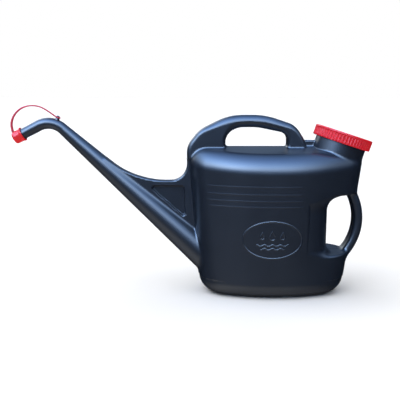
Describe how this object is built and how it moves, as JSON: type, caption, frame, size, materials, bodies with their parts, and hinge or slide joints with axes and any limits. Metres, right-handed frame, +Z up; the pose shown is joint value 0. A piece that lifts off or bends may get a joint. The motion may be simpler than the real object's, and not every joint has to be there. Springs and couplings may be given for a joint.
{
  "type": "watering can",
  "caption": "Long-spouted plastic watering can with a screw fill cap on a tilted neck, top and rear grips, and a push-on nozzle cap held by a strap.",
  "frame": {"origin": "middle of the flat base that the can stands on", "axes": "+Z up, +X from the spout towards the rear grip, the mould's parting plane is Y = 0"},
  "size_m": [0.6277, 0.1512, 0.3304],
  "materials": {
    "can_plastic": "satin, moulded",
    "cap_red": "satin, ribbed",
    "nozzle_red": "satin",
    "strap_red": "soft, flexible",
    "liner_foam": "closed-cell foam"
  },
  "bodies": {
    "can": {"reservoir_front": "can_plastic", "reservoir_back": "can_plastic", "top_handle": "can_plastic", "rear_grip": "can_plastic", "filler_neck": "can_plastic", "handle_gusset": "can_plastic", "spout_tube": "can_plastic", "spout_nozzle": "can_plastic", "spout_web": "can_plastic", "strap_stud": "can_plastic", "strap_eye": "strap_red"},
    "cap_liner": {"fill_cap_liner": "liner_foam"},
    "fill_cap": {"fill_cap": "cap_red"},
    "nozzle_cap": {"nozzle_cap": "nozzle_red", "cap_strap": "strap_red"}
  },
  "joints": [
    {"name": "cap_lift", "type": "slide", "parent": "can", "child": "cap_liner", "axis": [0.309, 0, 0.9511], "range_m": [0, 0.018]},
    {"name": "cap_turn", "type": "hinge", "parent": "cap_liner", "child": "fill_cap", "pos_m": [0.1154, 0, 0.2654], "axis": [0.309, 0, 0.9511], "range_deg": [0, 1080]},
    {"name": "nozzle_cap_pull", "type": "slide", "parent": "can", "child": "nozzle_cap", "axis": [-0.887, 0, -0.4617], "range_m": [0, 0.025], "deforming": ["cap_strap"]}
  ],
  "couplings": [
    {"joint": "cap_lift", "follows": "cap_turn", "m_per_rad": 0.00095492}
  ]
}
